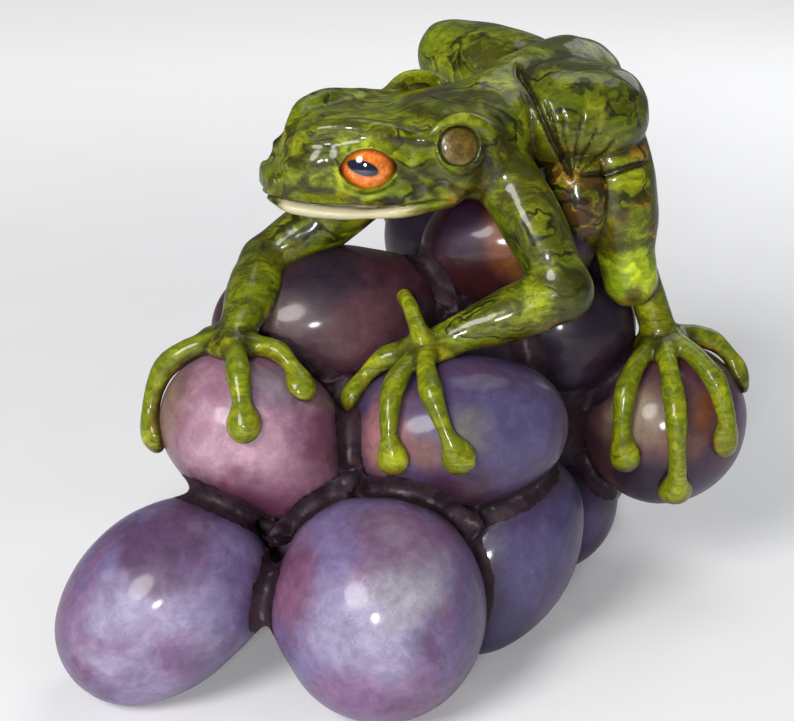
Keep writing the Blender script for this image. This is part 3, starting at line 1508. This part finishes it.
    def flesh(self) -> list[Flesh]:
        """The forms of every node, in the order in which they join."""
        made = [Flesh("trunk", self.trunk(), 1, 3.0), Flesh("head", self.head.forms(), 3.0, 1.4)]
        made += self.arm("left", pile(0.55, 0.32, 2.32), pile(0.81, 0.04, 1.84),
                         "grape_upper_front", (150, 66), ((150, 50), (174, 18), (-133, 0), (-91, 4)),
                         (0.10, -0.06, 0.05, -0.05))
        made += self.arm("right", pile(0.07, 0.57, 2.38), pile(-0.65, 0.37, 1.88),
                         "grape_upper_left", (163, 77), ((150, 46), (-175, 0), (-92, 26), (-32, 45)),
                         (0, -0.12, 0.04, 0.10))
        made += self.leg("left", pile(0.80, 0.95, 2.56), pile(1.04, 0.70, 2.57), pile(1.19, 0.60, 1.72),
                         "grape_right", (-160, 84), ((-124, -5), (-88, -30), (-54, 5), (2, 32)),
                         (-0.06, 0.03, 0.05, 0.10))
        made += self.leg("right", pile(0.75, 1.20, 2.58), pile(0.32, 1.53, 2.70), pile(0.28, 1.78, 2.08),
                         "grape_top_back", (105, 42), ((40, 12), (78, -2), (112, -2), (145, 10)),
                         (0.05, 0.02, -0.02, -0.05))
        return made

    def trunk(self) -> list[Form]:
        """The trunk's barrel, shoulders, rump and the ridges along its back."""
        axis = pointing(45, 0)
        right = np.cross([0, 0, 1.0], axis)
        origin = pile(0.20, 0.37, 0)
        rows = []
        for place, half, tall in (((0.20, 0.37, 2.47), 7.6, 6.4), ((0.40, 0.57, 2.47), 8.8, 8.0),
                                  ((0.63, 0.82, 2.56), 7.6, 7.8), ((0.85, 1.08, 2.60), 7.6, 8.1),
                                  ((1.02, 1.28, 2.60), 6.8, 6.7), ((1.10, 1.38, 2.55), 4.2, 4.2)):
            q = pile(*place) - origin
            rows.append((q @ axis, q @ right, q[2] - tall, q[2] + tall, half))
        body = Loft(origin, axis, right, np.array([0, 0, 1.0]), rows, 5.0, 3.0, 2.3)
        spine = Chain(through([(*pile(0.42, 0.60, 2.72), 1.2), (*pile(0.66, 0.86, 2.80), 1.4),
                               (*pile(0.88, 1.10, 2.84), 1.2)]))
        flank = Egg(np.array([23.3, 15.0, 66.5]), (6.0, 7.0, 9.0))
        groin = Egg(np.array([23.4, 7.4, 64.8]), (5.8, 8.0, 9.2))
        return [body, spine, flank, groin]

    def arm(self, side: str, shoulder: Array, elbow: Array, grape: str, seat: tuple[float, float],
            tips: Sequence[tuple[float, float]], bends: Sequence[float]) -> list[Flesh]:
        """A foreleg with its hand.

        Args:
            side: left or right.
            shoulder: the shoulder's place.
            elbow: the elbow's place.
            grape: the grape that the hand lies on.
            seat: bearing and rise of the palm.
            tips: bearing and rise of each fingertip.
            bends: how far each finger bows.

        Returns:
            One flesh for each node.
        """
        wrist = self.seat(grape, seat, 1.7)
        made = [
            Flesh(f"{side}_upper_arm", [self.limb(shoulder, elbow, self.upper_arm)], 3.4),
            Flesh(f"{side}_forearm", [self.limb(elbow, wrist, self.forearm)], 1.2),
            Flesh(f"{side}_palm", [self.cushion(grape, seat, self.palm)], 2.0),
        ] + self.digits(side, "finger", grape, seat, tips, bends)
        if side == "left":
            made[3].forms.append(Chain(through([(0.2, -14.6, 49.3, 1.5), (-0.6, -12.6, 51.0, 1.2),
                                                (-1.6, -9.6, 52.9, 1.1), (-2.3, -6.9, 53.2, 1.1)])))
        return made

    def leg(self, side: str, hip: Array, knee: Array, heel: Array, grape: str, seat: tuple[float, float],
            tips: Sequence[tuple[float, float]], bends: Sequence[float]) -> list[Flesh]:
        """A hind leg with its foot.

        Args:
            side: left or right.
            hip: the hip's place.
            knee: the knee's place.
            heel: the heel's place.
            grape: the grape that the foot lies on.
            seat: bearing and rise of the sole.
            tips: bearing and rise of each toe's tip.
            bends: how far each toe bows.

        Returns:
            One flesh for each node.
        """
        ankle = self.seat(grape, seat, 1.9)
        outward = np.array([0.55, 0.80, 0.15]) if side == "left" else np.array([0.2, 0.3, 0.0])
        thigh: list[Form] = [self.limb(hip, knee, self.thigh)]
        if side == "left":
            thigh.append(Egg(np.array([20.8, 8.5, 76.9]), (8.3, 8.2, 8.0)))
            thigh.append(Egg(np.array([27.3, 8.0, 77.0]), (6.5, 6.8, 6.8)))
        return [
            Flesh(f"{side}_thigh", thigh, 0.4, 2.2),
            Flesh(f"{side}_shank", [self.limb(knee, heel, self.shank)], 0.35),
            Flesh(f"{side}_foot", [self.limb(heel + outward * 3.2, ankle, self.foot)], 0.5),
            Flesh(f"{side}_sole", [self.cushion(grape, seat, self.sole)], 2.0),
        ] + self.digits(side, "toe", grape, seat, tips, bends)

    def creases(self, p: Array) -> Array:
        """Depth of the folds that fan out over the near thigh.

        Args:
            p: places in millimetres.

        Returns:
            Millimetres.
        """
        near = bump(p[:, 1], 20, 14) * bump(p[:, 2], 62, 68) * bump(p[:, 0], 9, 12)
        root, eye = np.array(self.fold_root), np.array(self.fold_viewpoint)
        made = np.zeros(len(p))
        for (x, z), depth, width in self.folds:
            tip = np.array([x, 2.0, z])
            length = float(np.linalg.norm(tip - root))
            across = unit(np.cross(tip - root, tip - eye))
            along = (p - root) @ unit(tip - root)
            off = (p - root) @ across + 0.5 * value_noise(p, 3.4, 6)
            ends = bump(along, 0.2, 2.5) * bump(along - length, 0.8, -2.0)
            made += depth * np.exp(-((off / width) ** 2)) * ends
        return made * near

    def skin_details(self, p: Array) -> Array:
        """Folds and small unevenness of the skin, in millimetres inwards."""
        return self.creases(p) + 0.06 * value_noise(p, 1.9, 1) + 0.26 * value_noise(p, 4.5, 2)

    def build(self, glaze: bpy.types.Material, box: tuple[Array, Array]) -> None:
        """Meshes the frog, parts it by node, paints each piece and sets it in the frame.

        Args:
            glaze: the frog's finish.
            box: the low and high corners of the solids, in millimetres, which the skin stays inside.
        """
        fleshes = self.flesh()
        low, high = box

        def field_at(p: Array) -> Array:
            """Distances of places from the frog's skin.

            Args:
                p: places in millimetres.

            Returns:
                Millimetres, negative inside.
            """
            made = fleshes[0].distance(p)
            for flesh in fleshes[1:]:
                made = smooth_min(made, flesh.distance(p), flesh.blend)
            made = self.head.carve(p, made) + self.skin_details(p)
            made = np.maximum(made, -0.5 - grape_distance(p))
            return smooth_max(made, np.maximum(p - high, low - p).max(1) + self.box_margin, 1.5)

        shell = mesh_skin(field_at, low + np.array([9.0, 13.0, 16.0]), high + 1, self.cell)
        nearest = np.stack([flesh.distance(shell.points) for flesh in fleshes], 1)
        labels = smooth_labels(shell, nearest.argmin(1), len(fleshes), 3)
        log.info("frog skin: %d points", len(shell.points))
        for flesh, part in zip(fleshes, split_shell(shell, labels, len(fleshes))):
            piece = add_piece(flesh.node + "_skin", part, self.paint(part, flesh.node, fleshes), glaze)
            settle(piece, "frog_glaze", flesh.node)

    def soot(self, part: Shell, node: str, fleshes: Sequence[Flesh]) -> Array:
        """How much dark stain lies in folds, in seams between forms and against the grapes.

        Args:
            part: the piece's skin.
            node: its node.
            fleshes: the forms of every node.

        Returns:
            A share for each point.
        """
        p = part.points
        near = np.sort([flesh.distance(p) for flesh in fleshes], axis=0)
        rough = value_noise(p, 2.2, 8)
        seam = bump(near[1] - near[0] + 0.7 * rough, 1.5, 0.0) * 0.75
        made = np.maximum(bump(self.creases(p), 0.10, 0.30) * 0.9, seam)
        made = np.maximum(made, bump(grape_distance(p) + 0.35 * rough, 0.9, 0.1) * 0.8)
        if node == "head":
            q = self.head.local(p)
            side = q[:, [0, 2]]
            for start, end, width in self.strokes:
                run = np.array(end) - start
                t = np.clip((side - start) @ run / (run @ run), 0, 1)
                reach = np.linalg.norm(side - start - t[:, None] * run, axis=1) + 0.55 * rough
                stroke = bump(reach, width * 1.7, width * 0.4) * 0.8 * bump(np.abs(q[:, 1]), 1.5, 3.5)
                made = np.maximum(made, stroke)
            mouth = np.abs(q[:, 2] - self.head.mouth_rise(q) - 0.1)
            made = np.maximum(made, bump(mouth, 0.5, 0.15) * bump(q[:, 0], 26, 20) * 0.7)
        return made

    def paint(self, part: Shell, node: str, fleshes: Sequence[Flesh]) -> dict[str, Array]:
        """Base colour, zones (veins, brown, clean) and soot of a piece's points.

        Args:
            part: the piece's skin.
            node: its node.
            fleshes: the forms of every node.

        Returns:
            Values for each point, by attribute name.
        """
        p = part.points
        green = np.array([0.150, 0.195, 0.006])
        bright = np.array([0.235, 0.330, 0.014])
        olive = np.array([0.190, 0.190, 0.006])
        cream = np.array([0.560, 0.510, 0.330])
        straw = np.array([0.36, 0.33, 0.13])
        tint = np.tile(green, (len(p), 1))
        veined = np.ones(len(p))
        brown = np.zeros(len(p))
        clean = np.zeros(len(p))
        wobble = value_noise(p, 3.0, 7)

        def spot(place: Array, radius: float, colour: Array, share: float, calm: float = 0.0) -> None:
            """Lays a soft patch of colour round a place and calms the veins there.

            Args:
                place: its middle.
                radius: its reach.
                colour: its colour.
                share: how strong it is.
                calm: how far it hides the veins.
            """
            reach = np.linalg.norm(p - place, axis=1) + 0.25 * radius * wobble
            w = bump(reach, radius, radius * 0.35) * share
            tint[:] += (colour - tint) * w[:, None]
            veined[:] *= 1 - calm * w

        if node == "trunk":
            brown += bump(p[:, 2] + 2 * wobble, 74, 70) * bump(p[:, 1], 26, 20)
        if node == "head":
            q = self.head.local(p)
            brown += bump(q[:, 0] + 2 * wobble, 23, 29) * bump(q[:, 2], 9, 6)
        if node in ("right_upper_arm", "left_shank"):
            brown += 0.75 * bump(wobble, -0.1, 0.5)
        brown += 0.7 * bump(part.normals[:, 2], -0.2, -0.8)
        spot(pile(0.81, 0.04, 1.84), 7.5, bright, 1.0, 0.75)
        spot(pile(-0.65, 0.37, 1.88), 7, bright, 0.7, 0.4)
        spot(pile(1.19, 0.55, 1.72), 8, bright * 1.25, 1.0, 0.85)
        spot(pile(1.04, 0.60, 2.65), 5, bright, 0.5, 0.3)
        spot(pile(0.32, 1.50, 2.80), 8, bright, 0.7, 0.4)
        if node in ("left_thigh", "left_upper_arm"):
            tint[:] *= 0.66
        if "finger" in node or "toe" in node:
            tint[:] = tint * 0.35 + (bright * 0.55 + olive * 0.45) * 0.65
            veined *= 0.35
            brown += 0.5 * bump(grape_distance(p) + 0.5 * wobble, 2.0, 0.6)
        if "palm" in node or "sole" in node or node.endswith("foot"):
            tint[:] = tint * 0.5 + olive * 0.5
        if node == "head":
            q = self.head.local(p)
            line = self.head.mouth_rise(q)
            lip = (bump(q[:, 2] - line, 0.2, -0.2) * bump(q[:, 2], -0.9, 0.2) * bump(q[:, 0], 22, 15)
                   * bump(q[:, 0], 0.6, 2.0))
            tint[:] += (cream - tint) * lip[:, None]
            clean += lip
            throat = bump(q[:, 2], 1.0, -0.2)
            tint[:] += (straw - tint) * (throat * 0.8)[:, None]
            for side in (-1, 1):
                eye = self.head.share(self.head.eye_place, side)
                lid = bump(np.linalg.norm(p - eye, axis=1), 6.2, 5.2)
                tint[:] += (bright * 1.1 - tint) * (lid * 0.7)[:, None]
                veined *= 1 - 0.6 * lid
        return {
            "soot": self.soot(part, node, fleshes),
            "tint": np.column_stack([np.clip(tint, 0, 1), np.ones(len(p))]),
            "zones": np.column_stack([np.clip(veined, 0, 1), np.clip(brown, 0, 1), np.clip(clean, 0, 1),
                                      np.ones(len(p))]),
        }

    def build_eyes(self, eye_glaze: bpy.types.Material, drum_glaze: bpy.types.Material) -> None:
        """Makes the eyeballs and eardrums and sets them in the frame.

        Args:
            eye_glaze: the eyeballs' finish.
            drum_glaze: the eardrums' finish.
        """
        for name, side in (("left", -1), ("right", 1)):
            eye, along, up, look = self.head.eye_frame(side)
            ball = Egg(eye, (self.head.eye_radius,) * 3)
            span = self.head.eye_radius + 1
            shell = mesh_skin(ball.distance, eye - span, eye + span, 0.22)
            seen = (shell.points - eye) @ np.stack([along, up, look], axis=1)
            slant = math.radians(self.pupil_slant)
            cosine, sine = math.cos(slant), math.sin(slant)
            turned = seen @ np.array([[cosine, -sine, 0], [sine, cosine, 0], [0, 0, 1]])
            turned[:, :2] = np.where(seen[:, 2:] > 0, turned[:, :2], 9)
            ball_piece = add_piece(f"{name}_eyeball", shell, {"gaze": turned}, eye_glaze)
            settle(ball_piece, "eye_glaze", f"{name}_eye")
            drum = self.head.share(self.head.drum_place, side)
            out = self.head.look(side, self.head.drum_look)
            radius = self.head.drum_radius
            disc = Egg(drum + out * 0.1, (0.95, radius, radius), out, self.head.back)
            shell = mesh_skin(disc.distance, drum - 4, drum + 4, 0.25)
            d = shell.points - drum
            wide = np.linalg.norm(d - np.outer(d @ out, out), axis=1) / radius
            disc_piece = add_piece(f"{name}_eardrum_disc", shell, {"rim": wide}, drum_glaze)
            settle(disc_piece, "eardrum_glaze", f"{name}_eardrum")


# Studio


@dataclass
class Studio:
    """Floor, lamps, world and camera."""

    target: Place = (-3.45, -11.25, 45.0)
    rise: float = 20.0
    distance: float = 260.0
    focal_pixels: float = 1790.0
    image_width: float = 794.0
    floor_colour: Colour = (0.88, 0.885, 0.90)
    floor_half: float = 3.0
    aim: Place = (0.0, 0.0, 0.04)

    def lamp(self, name: str, place: Place, size: float, power: float, colour: Colour) -> None:
        """A round lamp that shines at the pile's middle.

        Args:
            name: its name.
            place: where it hangs, in metres.
            size: its width in metres.
            power: its power in watts.
            colour: its colour.
        """
        data = bpy.data.lights.new(name, "AREA")
        data.shape, data.size, data.energy, data.color = "DISK", size, power, colour
        lamp = bpy.data.objects.new(name, data)
        lamp.location = place
        towards = Vector(self.aim) - Vector(place)
        lamp.rotation_euler = towards.to_track_quat("-Z", "Y").to_euler()
        bpy.context.scene.collection.objects.link(lamp)

    def build(self) -> None:
        """Makes the stage round the object."""
        mesh = bpy.data.meshes.new("floor")
        half = self.floor_half
        mesh.from_pydata([(-half, -half, 0), (half, -half, 0), (half, half, 0), (-half, half, 0)], [],
                         [(0, 1, 2, 3)])
        floor = bpy.data.objects.new("floor", mesh)
        paper = bpy.data.materials.new("floor_paper")
        paper.use_nodes = True
        n = Nodes(paper.node_tree)
        shader = paper.node_tree.nodes["Principled BSDF"]
        grain = n.noise(n.add("ShaderNodeTexCoord").outputs["Object"], 40.0, 3)
        tone = n.mix(n.step(grain, 0.3, 0.7), self.floor_colour, tuple(c * 0.97 for c in self.floor_colour))
        n.tree.links.new(tone, shader.inputs["Base Color"])
        shader.inputs["Roughness"].default_value = 0.7
        middle = n.add("ShaderNodeTexCoord").outputs["Object"]
        away = n.add("ShaderNodeVectorMath", {0: middle}, operation="LENGTH")
        seen = n.add("ShaderNodeLightPath").outputs["Is Camera Ray"]
        glow = n.maths("MULTIPLY", n.step(away.outputs["Value"], 0.04, 0.50, 0.12, 0.56), seen)
        shader.inputs["Emission Color"].default_value = (0.98, 0.98, 0.98, 1)
        n.tree.links.new(glow, shader.inputs["Emission Strength"])
        mesh.materials.append(paper)
        bpy.context.scene.collection.objects.link(floor)
        floor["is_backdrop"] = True
        self.lamp("key", (-0.26, -0.42, 0.36), 0.24, 2.5, (1.0, 0.985, 0.96))
        self.lamp("front", (-0.06, -0.52, 0.19), 0.07, 1.25, (1.0, 1.0, 1.0))
        self.lamp("top", (0.10, 0.10, 0.52), 0.30, 0.45, (0.95, 0.97, 1.0))
        self.lamp("back", (0.30, 0.40, 0.30), 0.30, 0.35, (0.95, 0.97, 1.0))
        world = bpy.data.worlds.new("studio")
        world.use_nodes = True
        n = Nodes(world.node_tree)
        shown = n.add("ShaderNodeLightPath").outputs["Is Camera Ray"]
        background = world.node_tree.nodes["Background"]
        background.inputs["Color"].default_value = (0.93, 0.94, 0.95, 1)
        n.tree.links.new(n.step(shown, 0, 1, 0.17, 0.88), background.inputs["Strength"])
        bpy.context.scene.world = world
        data = bpy.data.cameras.new("camera")
        data.sensor_width = 36.0
        data.lens = self.focal_pixels * data.sensor_width / self.image_width
        camera = bpy.data.objects.new("camera", data)
        e = math.radians(self.rise)
        forward = Vector((0, math.cos(e), -math.sin(e)))
        camera.location = (Vector(self.target) - forward * self.distance) * MM
        camera.rotation_euler = forward.to_track_quat("-Z", "Y").to_euler()
        bpy.context.scene.collection.objects.link(camera)
        bpy.context.scene.camera = camera
        data.clip_start, data.clip_end = 0.005, 20.0
        bpy.context.scene.view_settings.view_transform = "Standard"


def main() -> None:
    """Builds the looks round the frame."""
    logging.basicConfig(level=logging.INFO, format="%(name)s: %(message)s")
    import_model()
    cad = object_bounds()
    press_grapes()
    Studio().build()
    GrapePile().build(GrapeGlaze("grape_glaze", Gloss.SATIN).made())
    SlipWebs().build(SlipGlaze("slip_glaze", Gloss.MATT).made())
    frog = Frog()
    frog.build(FrogGlaze("frog_glaze", Gloss.WET).made(), (np.array(cad[0]) / MM, np.array(cad[1]) / MM))
    frog.build_eyes(EyeGlaze("eye_glaze", Gloss.GLASSY).made(),
                    EardrumGlaze("eardrum_glaze", Gloss.WET).made())
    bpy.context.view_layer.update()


if __name__ == "__main__":
    main()
